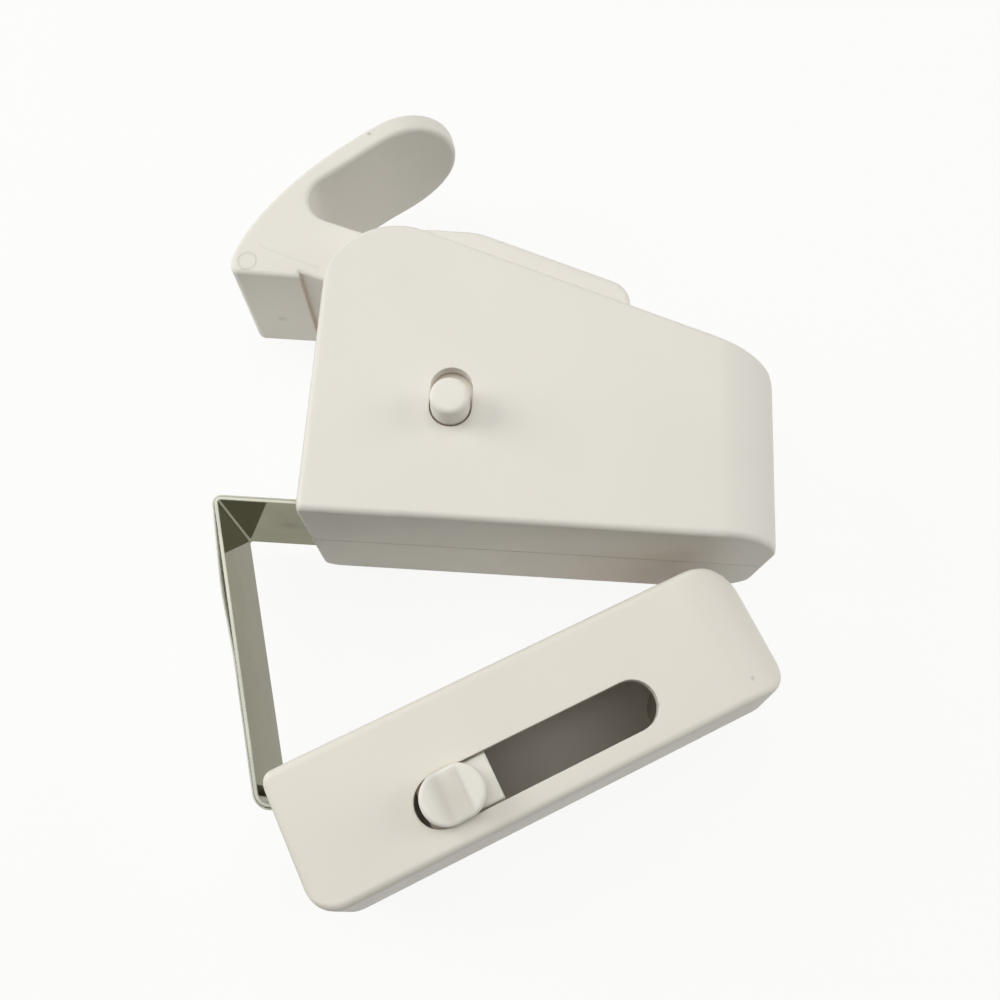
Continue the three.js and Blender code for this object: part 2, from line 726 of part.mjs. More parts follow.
const toe = new THREE.Vector2(pivot.x - TOE_OUT, pivot.y + TOE_LEVEL);
const backTop = onPaddle(PADDLE_ROOT, paddleOut);
const backControl = onPaddle(0, paddleOut);
const lapIn = onPaddle(PADDLE_ROOT + PADDLE_LAP, PADDLE_GAP);
const lapOut = onPaddle(PADDLE_ROOT + PADDLE_LAP, paddleOut);
const neckTop = onNeck(0, NECK_ABOVE);
const neckFloor = onNeck(0, NECK_BELOW);
const armOutline = new THREE.Shape();
armOutline.moveTo(neckTop.x, neckTop.y);
crotchArc.forEach((p) => armOutline.lineTo(p.x, p.y));
armOutline.lineTo(lapIn.x, lapIn.y);
armOutline.lineTo(lapOut.x, lapOut.y);
armOutline.lineTo(backTop.x, backTop.y);
armOutline.bezierCurveTo(backControl.x, backControl.y, toe.x + TOE_CURL, toe.y + BACK_BULGE, toe.x, toe.y);
armOutline.quadraticCurveTo(toe.x, footY, pivot.x - FOOT_TOE, footY);
armOutline.lineTo(heelFoot.x, heelFoot.y);
armOutline.lineTo(heel.x, heel.y);
armOutline.lineTo(neckFloor.x, neckFloor.y);
const drum = new THREE.Shape([
  pivot.clone(),
  ...arcPoints(pivot.x, pivot.y, CORNER_RADIUS - DRUM_INSET, DRUM_START, DRUM_END),
]);

// Paddle plate with a half-round tip, drawn flat, bent towards the housing and turned up to its tilt
const paddleShape = new THREE.Shape([
  ...arcPoints(PADDLE_REACH - ARM_WIDTH / 2, 0, ARM_WIDTH / 2, -Math.PI / 2, Math.PI / 2),
  new THREE.Vector2(PADDLE_ROOT, ARM_WIDTH / 2),
  new THREE.Vector2(PADDLE_ROOT, -ARM_WIDTH / 2),
]);
const paddleFrame = new THREE.Matrix4().makeBasis(
  new THREE.Vector3(paddleAlong.x, paddleAlong.y, 0),
  new THREE.Vector3(0, 0, -1),
  new THREE.Vector3(paddleUp.x, paddleUp.y, 0),
);
const paddleRoot = onPaddle(0, PADDLE_GAP);
const paddle = solid(
  bent(extruded(paddleShape, PADDLE_THICKNESS, ARM_EDGE), PADDLE_BEND_START, PADDLE_BEND_RADIUS)
    .applyMatrix4(paddleFrame)
    .translate(paddleRoot.x, paddleRoot.y, mid),
);

// Notches for the tooth: one for the hooked arm, one for the arm swung clear
const notchTop = toothTop + LOCK_TRAVEL + CLEAR;
function notch(turn) {
  const corners = [
    [toothLeft - CLEAR, 0], [toothRight + CLEAR, 0],
    [toothRight + CLEAR, notchTop], [toothLeft - CLEAR, notchTop],
  ].map(([x, y]) => new THREE.Vector2(x, y).rotateAround(pivot, turn));
  const shape = new THREE.Shape(corners);
  return prism(shape, barBack - TOOTH_DEPTH - CLEAR, REACH);
}
const coilLow = armLow + WIRE_RADIUS + CLEAR;
const coilHigh = coilLow + COIL_TURNS * COIL_PITCH;
const springWell = rod(
  pivot.x, pivot.y, COIL_RADIUS + WIRE_RADIUS + CLEAR, 0, coilHigh + WIRE_RADIUS + CLEAR,
);
const armPlan = rounded([
  [toe.x, armLow, TOE_BACK_ROUND], [REACH, armLow, 0], [REACH, armHigh, 0], [toe.x, armHigh, 0],
]);
const arm = joined([
  prism(armOutline, armLow, armHigh, ARM_EDGE).intersect(prismAlongY(armPlan, -REACH, REACH)),
  rod(pivot.x, pivot.y, HUB_RADIUS, armLow, armHigh),
  prism(drum, armLow, armHigh),
  paddle,
]).subtract(joined([
  notch(0), notch(SWING), springWell, rod(pivot.x, pivot.y, pinHole, 0, DEPTH),
]));
addPiece('latch_arm', arm, plastic());

// Torsion spring round the pin
class Helix extends THREE.Curve {
  getPoint(t) {
    const angle = t * COIL_TURNS * 2 * Math.PI;
    return new THREE.Vector3(
      pivot.x + COIL_RADIUS * Math.cos(angle),
      pivot.y + COIL_RADIUS * Math.sin(angle),
      coilLow + t * COIL_TURNS * COIL_PITCH,
    );
  }
}
const helix = new Helix();
const wire = new THREE.Shape();
wire.absarc(0, 0, WIRE_RADIUS, 0, 2 * Math.PI);
addPiece('latch_spring', solid(new THREE.ExtrudeGeometry(wire, {
  steps: COIL_TURNS * COIL_STEPS,
  curveSegments: 3,
  bevelEnabled: false,
  extrudePath: helix,
})), steel());
const coilPoints = helix.getSpacedPoints(COIL_TURNS * COIL_STEPS);
let coilGap = Infinity;
coilPoints.forEach((p, i) => coilPoints.slice(i + COIL_STEPS / 2).forEach((q) => {
  coilGap = Math.min(coilGap, p.distanceTo(q) - 2 * WIRE_RADIUS);
}));
console.log(`least gap between turns of the latch spring: ${coilGap.toFixed(2)} mm`);

// Band that follows a bent line: each point is [x, y, bend radius], offsets are outwards
function bandEdge(points, offset) {
  return points.flatMap(([x, y, radius], i) => {
    const here = new THREE.Vector2(x, y);
    const before = i > 0 ? new THREE.Vector2(points[i - 1][0], points[i - 1][1]) : null;
    const after = i < points.length - 1 ? new THREE.Vector2(points[i + 1][0], points[i + 1][1]) : null;
    const into = before ? here.clone().sub(before).normalize() : null;
    const away = after ? after.clone().sub(here).normalize() : null;
    if (!into || !away) {
      const along = into || away;
      return [here.addScaledVector(new THREE.Vector2(along.y, -along.x), offset)];
    }
    const turn = Math.asin(into.x * away.y - into.y * away.x);
    const sweep = into.dot(away) < 0 ? Math.PI - turn : turn;
    const bisector = away.clone().sub(into).normalize();
    const centre = here.clone().addScaledVector(bisector, radius / Math.cos(sweep / 2));
    const start = Math.atan2(-into.x, into.y);
    return arcPoints(centre.x, centre.y, radius + offset, start, start + sweep);
  });
}

function band(points, near, far) {
  return new THREE.Shape([...bandEdge(points, near), ...bandEdge(points, far).reverse()]);
}

const jawAlong = new THREE.Vector2(Math.cos(JAW_TILT), Math.sin(JAW_TILT));
const jawDown = new THREE.Vector2(jawAlong.y, -jawAlong.x);
const topBend = new THREE.Vector2(-STRAP_REACH, strapLow);
const spine = new THREE.Vector2(Math.sin(SPINE_LEAN), -Math.cos(SPINE_LEAN));
const lowBend = topBend.clone().addScaledVector(spine, SPINE_LENGTH);
const jawOrigin = lowBend.clone()
  .addScaledVector(jawAlong, JAW_LEAD)
  .addScaledVector(jawDown, -JAW_STRAP_DEPTH);
const inJaw = (a, b) => jawOrigin.clone().addScaledVector(jawAlong, a).addScaledVector(jawDown, b);
const jawPlace = (geometry) => geometry.rotateZ(JAW_TILT).translate(jawOrigin.x, jawOrigin.y, 0);
const strapEnd = inJaw(JAW_STRAP_TAIL, JAW_STRAP_DEPTH);
const strapLine = [
  [STRAP_TAIL, strapLow, 0],
  [topBend.x, topBend.y, TOP_BEND],
  [lowBend.x, lowBend.y, LOW_BEND],
  [strapEnd.x, strapEnd.y, 0],
];
const headBack = mid - HEAD_WIDTH / 2;
const headFront = mid + HEAD_WIDTH / 2;
const jawHeadX = JAW_STRAP_TAIL - HEAD_LENGTH;
const jawHeadStart = inJaw(jawHeadX, JAW_STRAP_DEPTH);
const strap = joined([
  prism(band(strapLine, 0, STRAP_THICKNESS), strapBack, strapFront),
  prism(band([[STRAP_TAIL, strapLow, 0], [headX, strapLow, 0]], 0, STRAP_THICKNESS), headBack, headFront),
  prism(
    band([[jawHeadStart.x, jawHeadStart.y, 0], [strapEnd.x, strapEnd.y, 0]], 0, STRAP_THICKNESS),
    headBack, headFront,
  ),
]);
addPiece('door_strap', strap, steel());

// Tape outside the strap, bowed off its spine, holed for a stud at each end
const tapeNear = STRAP_THICKNESS + TAPE_GAP;
const tapeFar = tapeNear + TAPE_THICKNESS;
const tapeEnd = inJaw(KEEPER_STUD + TAPE_OVERLAP, JAW_STRAP_DEPTH);
const bowOut = new THREE.Vector2(spine.y, -spine.x);
const bow = topBend.clone().addScaledVector(spine, SPINE_LENGTH / 2).addScaledVector(bowOut, TAPE_BOW);
const tapeLine = [
  [studX + TAPE_OVERLAP, strapLow, 0],
  [topBend.x, topBend.y, TOP_BEND],
  [bow.x, bow.y, SPINE_LENGTH],
  [lowBend.x, lowBend.y, LOW_BEND],
  [tapeEnd.x, tapeEnd.y, 0],
];
const tapeBack = mid - TAPE_WIDTH / 2;
const tapeFront = mid + TAPE_WIDTH / 2;
const studHole = STUD_RADIUS + CLEAR;
const jawStudHole = alongY(disc(KEEPER_STUD, mid, studHole), -JAW_HEIGHT, 0);
const jawStudCut = solid(jawPlace(jawStudHole));
const tape = prism(band(tapeLine, tapeNear, tapeFar), tapeBack, tapeFront)
  .subtract(prismAlongY(disc(studX, mid, studHole), 0, carriageFloor))
  .subtract(jawStudCut);
addPiece('pull_tape', tape, steel());

// Jaw, drawn lying along X with its clamp face up, then turned to its tilt
const jawRounds = [
  ...roundSteps([JAW_HEEL_ROUND, JAW_TOP_ROUND]),
  ...roundSteps([JAW_END_ROUND, JAW_TOE_ROUND]).map((d) => JAW_LENGTH - d),
];
const jawLow = (x) => rollOff(x, JAW_HEEL_ROUND) + rollOff(JAW_LENGTH - x, JAW_TOE_ROUND) - JAW_HEIGHT;
const jawHigh = (x) => -rollOff(x, JAW_TOP_ROUND) - rollOff(JAW_LENGTH - x, JAW_END_ROUND);
const jawOuter = moulding(0, JAW_LENGTH, jawRounds, jawLow, jawHigh, JAW_DRAFT);
const jawInner = hollow([
  [0, JAW_DRAFT - JAW_HEIGHT, JAW_HEEL_ROUND],
  [JAW_LENGTH, JAW_DRAFT - JAW_HEIGHT, JAW_TOE_ROUND],
  [JAW_LENGTH, 0, JAW_END_ROUND],
  [0, 0, JAW_TOP_ROUND],
], JAW_LENGTH);
const jawTapeDepth = JAW_STRAP_DEPTH + tapeNear;
const jawTapeFloor = JAW_STRAP_DEPTH + tapeFar;
const jawScrews = [
  [HEEL_SCREW.inset, -HEEL_SCREW.depth],
  ...JAW_END_SCREWS.depths.map((depth) => [JAW_LENGTH - JAW_END_SCREWS.inset, -depth]),
];
const slideHalf = SLIDE_WIDTH / 2;
const knobHalf = slideHalf - CLEAR;
const knobStart = SLIDE_START + KNOB_LEAD;
const knobEnd = knobStart + KNOB_LENGTH;
const plateEnd = knobStart + KNOB_PLATE;
const slideEnd = plateEnd + PULL + CLEAR + slideHalf - Math.sqrt(slideHalf ** 2 - knobHalf ** 2);
const jawInside = joined([
  bosses(jawScrews),
  headRibs(jawHeadX, -jawTapeFloor - RIB, -WALL / 2),
]).intersect(jawOuter);
const jawSlot = block(
  -OVERCUT, WALL + OVERCUT, -jawTapeFloor - CLEAR, -JAW_STRAP_DEPTH + CLEAR,
  strapBack - CLEAR, strapFront + CLEAR,
);
const jaw = jawOuter
  .subtract(jawInner)
  .add(jawInside)
  .subtract(jawSlot.add(screwCuts(jawScrews)));
const slidePlan = stadium(SLIDE_START, slideEnd, -SLIDE_DEPTH, slideHalf);
const slideSlot = prism(slidePlan, inner.front - OVERCUT, REACH);
addPiece('jaw_front_shell', jaw.intersect(frontHalf).subtract(slideSlot), plastic(), jawPlace);
addPiece('jaw_rear_shell', jaw.intersect(backHalf), plastic(), jawPlace);
jawScrews.forEach(([a, b], i) => {
  addPiece(`jaw_screw_${i + 1}`, shellScrew(a, b), zinc(), jawPlace);
});

// Thumb slide: a knob in the slot, a keeper behind it that pulls the tape, a screw between them
const knobBase = inner.front + CLEAR / 2;
const knobTop = DEPTH + KNOB_PROUD;
const knobPlate = new THREE.Shape([
  ...arcPoints(knobStart + knobHalf, -SLIDE_DEPTH, knobHalf, Math.PI / 2, Math.PI * 1.5),
  new THREE.Vector2(plateEnd, -SLIDE_DEPTH - knobHalf),
  new THREE.Vector2(plateEnd, -SLIDE_DEPTH + knobHalf),
]);
const knobPlan = stadium(knobStart, knobEnd, -SLIDE_DEPTH, knobHalf);
const capStart = knobStart - KNOB_LAP;
const capEnd = knobEnd + KNOB_LAP;
const capFloor = DEPTH + CLEAR;
const capDip = capStart + KNOB_DIP;
const capPlan = stadium(capStart, capEnd, -SLIDE_DEPTH, slideHalf + KNOB_LAP);
const capSide = new THREE.Shape();
capSide.moveTo(capStart, capFloor);
capSide.lineTo(capEnd, capFloor);
capSide.lineTo(capEnd, knobTop - KNOB_ROUND);
capSide.quadraticCurveTo(capEnd, knobTop, capEnd - KNOB_ROUND, knobTop);
capSide.lineTo(capDip + KNOB_LIP, knobTop);
capSide.quadraticCurveTo(capDip + KNOB_LIP / 3, knobTop, capDip, knobTop - KNOB_SCOOP);
capSide.quadraticCurveTo((capStart + capDip) / 2, knobTop, capStart + KNOB_ROUND, knobTop);
capSide.quadraticCurveTo(capStart, knobTop, capStart, knobTop - KNOB_ROUND);
const screwA = knobStart + KNOB_LENGTH / 2;
const smallHole = SMALL_SCREW_RADIUS + CLEAR;
const screwBite = inner.front + SMALL_SCREW_BITE;
const knob = prism(capPlan, 0, REACH)
  .intersect(prismAlongY(capSide, -JAW_HEIGHT, 0))
  .add(prism(knobPlan, knobBase, capFloor + CLEAR))
  .add(prism(knobPlate, knobBase, DEPTH - KNOB_STEP))
  .subtract(rod(screwA, -SLIDE_DEPTH, smallHole, 0, screwBite + CLEAR));
addPiece('slider_knob', knob, plastic(), jawPlace);

const keeperFront = inner.front - CLEAR;
const keeperBack = keeperFront - KEEPER_THICKNESS;
const keeperHalf = KEEPER_WIDTH / 2;
const keeperTop = -jawTapeFloor - CLEAR;
const keeper = joined([
  block(knobStart, plateEnd, -SLIDE_DEPTH - keeperHalf, -SLIDE_DEPTH + keeperHalf, keeperBack, keeperFront),
  block(
    KEEPER_STUD - KEEPER_ARM / 2, KEEPER_STUD + KEEPER_ARM / 2,
    -SLIDE_DEPTH + keeperHalf - RIB * 2, keeperTop,
    mid - KEEPER_ARM / 2, keeperFront,
  ),
  prismAlongY(disc(KEEPER_STUD, mid, STUD_RADIUS), keeperTop - CLEAR, -jawTapeDepth),
]).subtract(rod(screwA, -SLIDE_DEPTH, smallHole, 0, DEPTH));
addPiece('slider_keeper', keeper, plastic(), jawPlace);
addPiece('keeper_screw', screw(
  screwA, -SLIDE_DEPTH, SMALL_SCREW_HEAD, SMALL_SCREW_RADIUS,
  keeperBack - CLEAR - SMALL_SCREW_HEAD_HEIGHT, keeperBack - CLEAR, screwBite,
), zinc(), jawPlace);

export default group;
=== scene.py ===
import json
import math

import bmesh
import bpy
from mathutils import Matrix, Vector


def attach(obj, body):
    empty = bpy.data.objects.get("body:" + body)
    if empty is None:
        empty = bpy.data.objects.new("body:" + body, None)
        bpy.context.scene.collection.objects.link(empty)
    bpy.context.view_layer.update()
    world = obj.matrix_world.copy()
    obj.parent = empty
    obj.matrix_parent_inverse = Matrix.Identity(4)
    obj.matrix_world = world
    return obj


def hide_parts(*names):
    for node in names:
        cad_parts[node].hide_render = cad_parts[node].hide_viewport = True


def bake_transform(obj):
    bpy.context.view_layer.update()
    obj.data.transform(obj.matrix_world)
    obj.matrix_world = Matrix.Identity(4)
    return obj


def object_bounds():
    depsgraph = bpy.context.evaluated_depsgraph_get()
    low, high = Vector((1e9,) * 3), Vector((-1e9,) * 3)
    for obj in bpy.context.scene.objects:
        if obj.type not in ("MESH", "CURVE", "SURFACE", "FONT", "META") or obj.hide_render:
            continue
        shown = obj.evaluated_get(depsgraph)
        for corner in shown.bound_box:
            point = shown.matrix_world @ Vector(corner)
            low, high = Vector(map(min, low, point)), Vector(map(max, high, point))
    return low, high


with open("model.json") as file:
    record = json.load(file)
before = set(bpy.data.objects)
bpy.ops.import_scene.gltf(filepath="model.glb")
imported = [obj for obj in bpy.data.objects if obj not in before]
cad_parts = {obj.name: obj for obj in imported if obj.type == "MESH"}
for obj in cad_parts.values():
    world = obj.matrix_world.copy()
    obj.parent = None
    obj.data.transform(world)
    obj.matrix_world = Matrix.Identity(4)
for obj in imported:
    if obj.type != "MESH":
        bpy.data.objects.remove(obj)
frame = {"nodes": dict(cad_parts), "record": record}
cad_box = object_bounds()

# Lengths below are in millimetres and MM turns them into metres.
MM = 0.001

# The solids are drawn from the housing's lower left corner at the back.
# The row frame starts at the middle of the housing's underside.
HOUSING_LENGTH = 80
DEPTH = 37
FRAME_SHIFT = Vector((HOUSING_LENGTH / 2, 0, DEPTH / 2))

# Strap and tape: a flat leg in the housing, a back that leans in, and a leg in the jaw.
STRIP_LEVEL = 2.6
HOUSING_BEND = Vector((-14.2, STRIP_LEVEL))
JAW_BEND = Vector((-0.83, -45.95))
HOUSING_BEND_RADIUS = 0.45
JAW_BEND_RADIUS = 2
STRAP_END = Vector((26, STRIP_LEVEL))
STRAP_JAW_END = Vector((13.38, -38.07))
STRAP_THICKNESS = 0.6
STRAP_LOW = 5.35
STRAP_HIGH = 31.65
STRAP_HEAD_LOW = 2.6
STRAP_HEAD_HIGH = 34.4
STRAP_HEAD_LENGTH = 5
TAPE_END = Vector((37, STRIP_LEVEL))
TAPE_JAW_END = Vector((25.18, -31.52))
TAPE_NEAR = 0.7
TAPE_FAR = 1.0
TAPE_LOW = 5.85
TAPE_HIGH = 31.15
TAPE_BOW = 0.55
TAPE_BOW_PLACE = 0.3
TAPE_BOW_END = 0.52
TAPE_BOW_RADIUS = 60
STRIP_STEP = 1.0
BEND_STEPS = 10
STRIP_EDGE = 0.1

# Cap of the thumb slider, in the row frame, along and across its slot.
# Its thumb rest falls softly to a dip and rises to a lip; their places count from the cap's start.
SLOT_ALONG = Vector((0.8742, 0.48557, 0))
SLOT_ACROSS = Vector((-0.48557, 0.8742, 0))
CAP_START = -35.86
CAP_END = -25.77
CAP_MIDDLE = -31.297
CAP_HALF = 4.15
CAP_FLOOR = 18.78
CAP_CUT = 18.79
CAP_TOP = 22.1
CAP_ROUND = 0.7
CAP_REST = 0.6
CAP_DIP = 4.5
CAP_LIP = 7.2
CAP_SCOOP = 1.9
CAP_SOFT_STEP = 0.12
CAP_SOFT_STEPS = 2
CAP_COLUMNS = 90
CAP_ROWS = 36
CAP_TIP = 0.002

# Photograph's camera, in the row frame.
CAMERA_PLACE = Vector((-8.06, -46.73, 176.7))
CAMERA_RIGHT = Vector((0.99812, 0.05712, 0.02220))
CAMERA_UP = Vector((-0.06117, 0.95091, 0.30336))
CAMERA_FORWARD = Vector((0.00378, 0.30415, -0.95262))
CAMERA_LENS = 37.08
CAMERA_SENSOR = 36

# Surfaces turn smoothly over edges flatter than this angle.
SMOOTH_ANGLE = math.radians(38)
WELD = 0.002

# Plastic: widths and heights in millimetres, tones as shares of its colour
PLASTIC_IOR = 1.46
PLASTIC_SPECULAR = 0.25
PLASTIC_EDGE = 0.3
BUTTON_EDGE = 0.8
CLOUD_WIDTH = 24
CLOUD_TONES = (0.985, 1.015)
SPECK_WIDTH = 0.7
SPECK_SHARE = 0.35
SPECK_TONE = 0.94
WAVE_WIDTH = 18
WAVE_HEIGHT = 0.05
WAVE_STRENGTH = 0.12
GRAIN_WIDTH = 0.45
GRAIN_HEIGHT = 0.02
GRAIN_STRENGTH = 0.1
GLOSS_WIDTH = 6
MARK_SHADE_TONE = 0.6

# Dirt and painted shade in a crease: its largest share, how far the crease's walls count,
# and the openness at which there is most and none
CREASE_DIRT_AND_SHADE = (0.55, 1.2, 0.1, 0.75)
# The thumb rest's hollow gets a wider, stronger darkening, all of it painted shade
THUMB_REST_SHADE = (1, 4, 0.7, 0.98)
DIRT_AND_SHADE_TONE = (0.64, 0.62, 0.57)
CREASE_SAMPLES = 8

# Plastic deep inside takes its tone from light that has bounced between warm walls.
INSIDE_REACH = 30
INSIDE_CLOSED = 0.03
INSIDE_OPEN = 0.2
INSIDE_WARMTH = (1.06, 0.92, 0.86)
INSIDE_SAMPLES = 12

# Steel: widths and heights in millimetres, tones as shares of its colour
STEEL_EDGE = 0.1
STREAK_TONES = (0.93, 1.06)
STREAK_HEIGHT = 0.01
STREAK_STRENGTH = 0.04
TARNISH_WIDTH = 13
TARNISH_TONE = (0.86, 0.89, 0.93)
SPOT_WIDTH = 2.2
SPOT_SHARE = 0.6
SPOT_TONE = 0.8
# Painted reflection: how strongly darker spots at the strap's dents darken it, and their tone
DENT_SHADE_SHARE = 0.6
DENT_SHADE_TONE = 0.6
BEVEL_SAMPLES = 6

# Stage
FLOOR_HALF = 1500
FLOOR_COLOUR = (0.72, 0.72, 0.71, 1)
FLOOR_SEEN = (0.975, 0.975, 0.965, 1)
FLOOR_SHADOW_SHARE = 0.07
FLOOR_CELLS = 8
WORLD_LIGHT = 0.17
WORLD_COLOUR = (1, 0.99, 0.97, 1)

# Lamps: place, width and height, power. All of them point at the part's origin.
LAMP_COLOUR = (1, 0.985, 0.955)
LAMPS = {
    "overhead": ((-40, 90, 620), (620, 520), 2.3),
    "left": ((-530, 120, 260), (320, 420), 1.95),
    "right": ((530, 170, 260), (320, 420), 1.15),
}

nodes = frame["nodes"]


def to_row(x, y, z):
    return (Vector((x, y, z)) - FRAME_SHIFT) * MM


# Materials
def blank_material(name):
    material = bpy.data.materials.new(name)
    material.use_nodes = True
    material.node_tree.nodes.clear()
    return material, material.node_tree


def new_material(name):
    material, tree = blank_material(name)
    output = tree.nodes.new("ShaderNodeOutputMaterial")
    shader = tree.nodes.new("ShaderNodeBsdfPrincipled")
    tree.links.new(shader.outputs["BSDF"], output.inputs["Surface"])
    return material, tree, shader


def coordinates(tree, stretch=(1, 1, 1), source="Object"):
    place = tree.nodes.new("ShaderNodeTexCoord")
    mapping = tree.nodes.new("ShaderNodeMapping")
    mapping.inputs["Scale"].default_value = stretch
    tree.links.new(place.outputs[source], mapping.inputs["Vector"])
    return mapping.outputs["Vector"]


def noise(tree, vector, grain, detail=3.0, roughness=0.5):
    """Noise whose lumps are about grain millimetres wide."""
    texture = tree.nodes.new("ShaderNodeTexNoise")
    texture.inputs["Scale"].default_value = 1 / (grain * MM)
    texture.inputs["Detail"].default_value = detail
    texture.inputs["Roughness"].default_value = roughness
    tree.links.new(vector, texture.inputs["Vector"])
    return texture.outputs["Fac"]


def spread(tree, value, low, high, start=0.3, end=0.7):
    """Maps a texture's middle range to low..high."""
    scaled = tree.nodes.new("ShaderNodeMapRange")
    scaled.inputs["From Min"].default_value = start
    scaled.inputs["From Max"].default_value = end
    scaled.inputs["To Min"].default_value = low
    scaled.inputs["To Max"].default_value = high
    tree.links.new(value, scaled.inputs["Value"])
    return scaled.outputs["Result"]


def mixed(tree, share, first, second):
    mix = tree.nodes.new("ShaderNodeMix")
    mix.data_type = "RGBA"
    for socket, value in ((mix.inputs[0], share), (mix.inputs[6], first), (mix.inputs[7], second)):
        if hasattr(value, "is_linked"):
            tree.links.new(value, socket)
        else:
            socket.default_value = value
    return mix.outputs[2]


def bumped(tree, height, strength, distance, normal):
    bump = tree.nodes.new("ShaderNodeBump")
    bump.inputs["Strength"].default_value = strength
    bump.inputs["Distance"].default_value = distance * MM
    tree.links.new(height, bump.inputs["Height"])
    tree.links.new(normal, bump.inputs["Normal"])
    return bump.outputs["Normal"]


def softened(tree, radius):
    edge = tree.nodes.new("ShaderNodeBevel")
    edge.samples = BEVEL_SAMPLES
    edge.inputs["Radius"].default_value = radius * MM
    return edge.outputs["Normal"]


def openness(tree, reach, samples):
    """How open a point is to its surroundings within reach: 0 in a closed hollow, 1 in the open."""
    shelter = tree.nodes.new("ShaderNodeAmbientOcclusion")
    shelter.samples = samples
    shelter.inputs["Distance"].default_value = reach * MM
    return shelter.outputs["AO"]


def shade(colour, factor):
    return tuple(channel * factor for channel in colour) + (1,)


def tinted(colour, factors):
    return tuple(channel * factor for channel, factor in zip(colour, factors)) + (1,)


def calculated(tree, operation, *values):
    """Math on texture values; plain numbers stay on the node's sockets."""
    node = tree.nodes.new("ShaderNodeMath")
    node.operation = operation
    for socket, value in zip(node.inputs, values):
        if hasattr(value, "is_linked"):
            tree.links.new(value, socket)
        else:
            socket.default_value = value
    return node.outputs[0]


def vector_value(tree, operation, vector, other):
    node = tree.nodes.new("ShaderNodeVectorMath")
    node.operation = operation
    node.inputs[1].default_value = other
    tree.links.new(vector, node.inputs[0])
    return node.outputs["Value"]


def ring_mark(tree, place, centre, radius, width):
    """1 on a circle about a point, 0 beyond its width; a circle of no radius is a dot."""
    away = vector_value(tree, "DISTANCE", place, to_row(*centre))
    off = calculated(tree, "ABSOLUTE", calculated(tree, "SUBTRACT", away, radius * MM))
    return spread(tree, off, 1, 0, start=0, end=width * MM)


def line_mark(tree, place, start, end, width):
    """1 on a straight line in a face turned to the front, 0 beyond its width and its ends."""
    first = to_row(*start)
    along = to_row(*end) - first
    length = along.length
    along.normalize()
    across = Vector((-along.y, along.x, 0))
    sideways = vector_value(tree, "DOT_PRODUCT", place, across)
    aside = calculated(tree, "ABSOLUTE", calculated(tree, "SUBTRACT", sideways, first.dot(across)))
    on_line = spread(tree, aside, 1, 0, start=0, end=width * MM)
    middle = first.dot(along) + length / 2
    reach = calculated(tree, "SUBTRACT", vector_value(tree, "DOT_PRODUCT", place, along), middle)
    from_middle = calculated(tree, "ABSOLUTE", reach)
    inside = spread(tree, from_middle, 1, 0, start=length / 2 - width * MM, end=length / 2)
    return calculated(tree, "MULTIPLY", on_line, inside)


def plastic(name, colour, roughness=(0.42, 0.52), edge=PLASTIC_EDGE, crease_shade=CREASE_DIRT_AND_SHADE, marks=()):
    """Satin moulded plastic: faint cloudiness, fine mould texture, dirt and painted shade in the
    creases, a warmer tone deep inside that stands in for bounced light, and the marks that the mould
    left, darkened by painted shade."""
    material, tree, shader = new_material(name)
    place = coordinates(tree)
    cloud = spread(tree, noise(tree, place, CLOUD_WIDTH), 0, 1)
    tint = mixed(tree, cloud, *(shade(colour, tone) for tone in CLOUD_TONES))
    speck = noise(tree, place, SPECK_WIDTH, detail=5)
    speck = spread(tree, speck, 0, SPECK_SHARE, start=0.62, end=0.8)
    tint = mixed(tree, speck, tint, shade(colour, SPECK_TONE))
    most_darkening, reach, closed, opened = crease_shade
    # Darker towards closed creases: partly dirt, partly painted shade where shade falls
    crease = openness(tree, reach, CREASE_SAMPLES)
    crease_darkening = spread(tree, crease, most_darkening, 0, start=closed, end=opened)
    tint = mixed(tree, crease_darkening, tint, tinted(colour, DIRT_AND_SHADE_TONE))
    hollow = openness(tree, INSIDE_REACH, INSIDE_SAMPLES)
    inside = spread(tree, hollow, 1, 0, start=INSIDE_CLOSED, end=INSIDE_OPEN)
    tint = mixed(tree, inside, tint, tinted(colour, INSIDE_WARMTH))
    waves = noise(tree, place, WAVE_WIDTH, detail=1)
    normal = bumped(tree, waves, WAVE_STRENGTH, WAVE_HEIGHT, softened(tree, edge))
    grain = noise(tree, place, GRAIN_WIDTH, detail=4)
    normal = bumped(tree, grain, GRAIN_STRENGTH, GRAIN_HEIGHT, normal)
    # Each mark is bumped, and darkened with painted shade that stands in for the shade of its relief
    for mark, *sizes, height, mark_shade in marks:
        share = mark(tree, place, *sizes)
        mark_shade_share = calculated(tree, "MULTIPLY", share, mark_shade)
        tint = mixed(tree, mark_shade_share, tint, shade(colour, MARK_SHADE_TONE))
        normal = bumped(tree, share, 1, height, normal)
    tree.links.new(tint, shader.inputs["Base Color"])
    gloss = spread(tree, noise(tree, place, GLOSS_WIDTH), *roughness)
    tree.links.new(gloss, shader.inputs["Roughness"])
    tree.links.new(normal, shader.inputs["Normal"])
    shader.inputs["IOR"].default_value = PLASTIC_IOR
    shader.inputs["Specular IOR Level"].default_value = PLASTIC_SPECULAR
    return material


